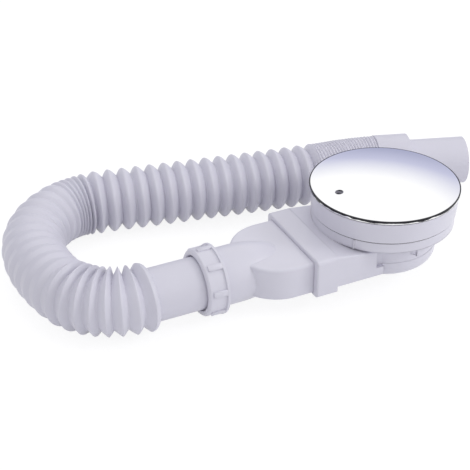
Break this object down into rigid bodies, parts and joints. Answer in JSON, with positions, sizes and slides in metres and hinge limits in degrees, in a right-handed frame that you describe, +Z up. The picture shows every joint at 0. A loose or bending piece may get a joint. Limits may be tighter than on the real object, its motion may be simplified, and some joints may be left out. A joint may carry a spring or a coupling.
{
  "type": "shower tray waste trap",
  "caption": "Low shower tray waste trap with a round chrome cover, flanged drum, flat outlet housing, union nut and an extendable ribbed waste hose.",
  "frame": {"origin": "centre of the drum's flat foot, on the floor", "axes": "+Z up along the drum's axis, -X along the outlet towards the union nut"},
  "size_m": [0.414, 0.2281, 0.076],
  "materials": {
    "chrome": "polished chrome plate",
    "white_plastic": "moulded, half gloss",
    "hose_plastic": "blow-moulded, half gloss",
    "seal_rubber": "soft black rubber",
    "screw_steel": "turned steel"
  },
  "bodies": {
    "root": {"cover_cap": "chrome", "cover_carrier": "white_plastic", "waste_flange": "white_plastic", "flange_seal": "seal_rubber", "flange_screws": "screw_steel", "dip_insert": "white_plastic", "insert_seal": "seal_rubber", "hair_strainer": "white_plastic", "trap_body": "white_plastic", "outlet_housing": "white_plastic", "outlet_seal": "seal_rubber", "cone_seal": "seal_rubber", "slip_ring": "white_plastic", "union_nut": "white_plastic", "hose": "hose_plastic"}
  },
  "joints": []
}
